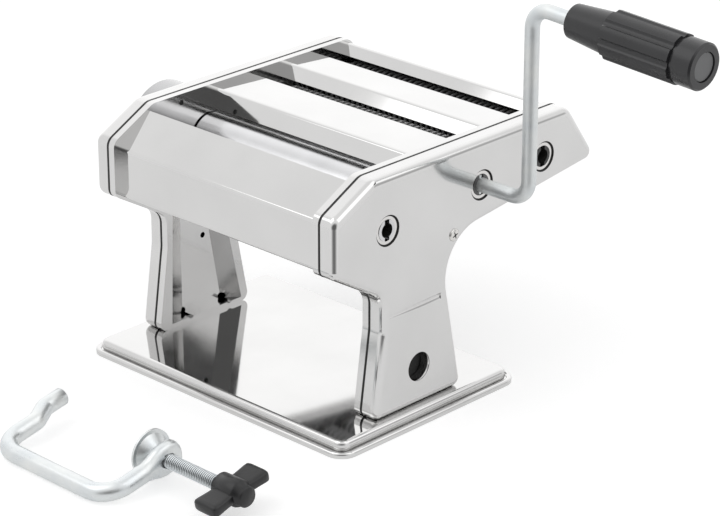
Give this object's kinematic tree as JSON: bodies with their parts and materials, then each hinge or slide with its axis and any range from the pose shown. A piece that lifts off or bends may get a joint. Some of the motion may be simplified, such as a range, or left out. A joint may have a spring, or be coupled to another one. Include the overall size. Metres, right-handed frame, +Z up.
{
  "type": "pasta roller machine",
  "caption": "Hand-cranked pasta machine with a smooth roller pair, intermeshing cutters, a gap regulator knob, a pull-out crank and a loose table clamp.",
  "frame": {"origin": "middle of the base's underside, on the surface that the machine stands on", "axes": "+X along the rollers towards the crank, -Y the front, +Z up"},
  "size_m": [0.3515, 0.3306, 0.2384],
  "materials": {
    "chrome": "mirror polished",
    "roller_steel": "satin",
    "cutter_steel": "satin",
    "sheet_steel": "satin",
    "gear_steel": "oiled",
    "shaft_steel": "ground",
    "zinc_steel": "bright zinc plate",
    "nylon": "natural",
    "ring_metal": "polished",
    "knob_metal": "satin chrome",
    "charcoal_plastic": "satin",
    "grey_plastic": "satin",
    "black_plastic": "satin"
  },
  "bodies": {
    "frame": {"base_plate": "chrome", "base_bottom_plate": "sheet_steel", "left_inner_plate": "chrome", "right_inner_plate": "chrome", "left_outer_cover": "chrome", "right_outer_cover": "chrome", "front_panel": "chrome", "rear_panel": "chrome", "front_guide_sheet": "chrome", "rear_guide_sheet": "chrome", "front_roller_scraper": "sheet_steel", "rear_roller_scraper": "sheet_steel", "middle_comb_front": "sheet_steel", "middle_comb_rear": "sheet_steel", "rear_comb_front": "sheet_steel", "rear_comb_rear": "sheet_steel", "shaft_bushes": "nylon", "socket_rings": "ring_metal", "regulator_bushes": "nylon", "tie_rod": "shaft_steel"},
    "front_roller": {"front_roller": "roller_steel", "front_roller_gear": "gear_steel"},
    "regulator": {"eccentric_shaft": "shaft_steel"},
    "regulator_knob": {"regulator_knob": "knob_metal"},
    "sleeves": {"roller_sleeves": "nylon"},
    "rear_roller": {"rear_roller": "roller_steel", "rear_roller_gear": "gear_steel"},
    "middle_front": {"middle_cutter_front": "cutter_steel", "middle_gear_front": "gear_steel"},
    "middle_rear": {"middle_cutter_rear": "cutter_steel", "middle_gear_rear": "gear_steel"},
    "rear_front": {"rear_cutter_front": "cutter_steel", "rear_gear_front": "gear_steel"},
    "rear_rear": {"rear_cutter_rear": "cutter_steel", "rear_gear_rear": "gear_steel"},
    "crank": {"crank_rod": "zinc_steel", "crank_pin": "shaft_steel", "crank_collar": "zinc_steel"},
    "grip": {"crank_grip": "charcoal_plastic", "grip_end_cap": "grey_plastic"},
    "clamp": {"clamp_frame": "zinc_steel"},
    "clamp_disc": {"pressure_disc": "zinc_steel"},
    "clamp_screw": {"clamp_screw": "zinc_steel", "wing_knob": "black_plastic"}
  },
  "joints": [
    {"name": "front_roller_spin", "type": "hinge", "parent": "frame", "child": "front_roller", "pos_m": [0, -0.0273, 0.116], "axis": [1, 0, 0], "continuous": true},
    {"name": "gap_adjust", "type": "hinge", "parent": "frame", "child": "regulator", "pos_m": [0, 0.00303, 0.11472], "axis": [1, 0, 0], "range_deg": [0, 120]},
    {"name": "knob_pull", "type": "slide", "parent": "regulator", "child": "regulator_knob", "axis": [-1, 0, 0], "range_m": [0, 0.004], "stiffness_N_per_m": 300},
    {"name": "sleeve_slide", "type": "slide", "parent": "frame", "child": "sleeves", "axis": [0, -1, 0], "range_m": [0, 0.00294]},
    {"name": "rear_roller_spin", "type": "hinge", "parent": "sleeves", "child": "rear_roller", "pos_m": [0, 0.0045, 0.116], "axis": [1, 0, 0], "continuous": true},
    {"name": "middle_front_spin", "type": "hinge", "parent": "frame", "child": "middle_front", "pos_m": [0, 0.0456, 0.1209], "axis": [1, 0, 0], "continuous": true},
    {"name": "middle_rear_spin", "type": "hinge", "parent": "frame", "child": "middle_rear", "pos_m": [0, 0.0656, 0.1209], "axis": [1, 0, 0], "continuous": true},
    {"name": "rear_front_spin", "type": "hinge", "parent": "frame", "child": "rear_front", "pos_m": [0, 0.0956, 0.1233], "axis": [1, 0, 0], "continuous": true},
    {"name": "rear_rear_spin", "type": "hinge", "parent": "frame", "child": "rear_rear", "pos_m": [0, 0.1156, 0.1233], "axis": [1, 0, 0], "continuous": true},
    {"name": "crank_pull", "type": "slide", "parent": "middle_front", "child": "crank", "axis": [1, 0, 0], "range_m": [0, 0.03]},
    {"name": "grip_spin", "type": "hinge", "parent": "crank", "child": "grip", "pos_m": [0.1245, 0.0456, 0.2284], "axis": [0.9984, 0, -0.0558], "continuous": true},
    {"name": "clamp_lift", "type": "slide", "parent": "frame", "child": "clamp", "axis": [0, 0, 1], "range_m": [0, 0.1]},
    {"name": "disc_feed", "type": "slide", "parent": "clamp", "child": "clamp_disc", "axis": [-1, 0, 0], "range_m": [0, 0.03]},
    {"name": "screw_turn", "type": "hinge", "parent": "clamp_disc", "child": "clamp_screw", "pos_m": [0.06, -0.1483, 0.01301], "axis": [-1, 0, 0], "range_deg": [0, 8640]}
  ],
  "couplings": [
    {"joint": "gap_adjust", "follows": "sleeve_slide", "rad_per_m": 711.29},
    {"joint": "rear_roller_spin", "follows": "front_roller_spin", "ratio": -1},
    {"joint": "middle_rear_spin", "follows": "middle_front_spin", "ratio": -1},
    {"joint": "rear_rear_spin", "follows": "rear_front_spin", "ratio": -1},
    {"joint": "screw_turn", "follows": "disc_feed", "rad_per_m": 5026.5}
  ]
}
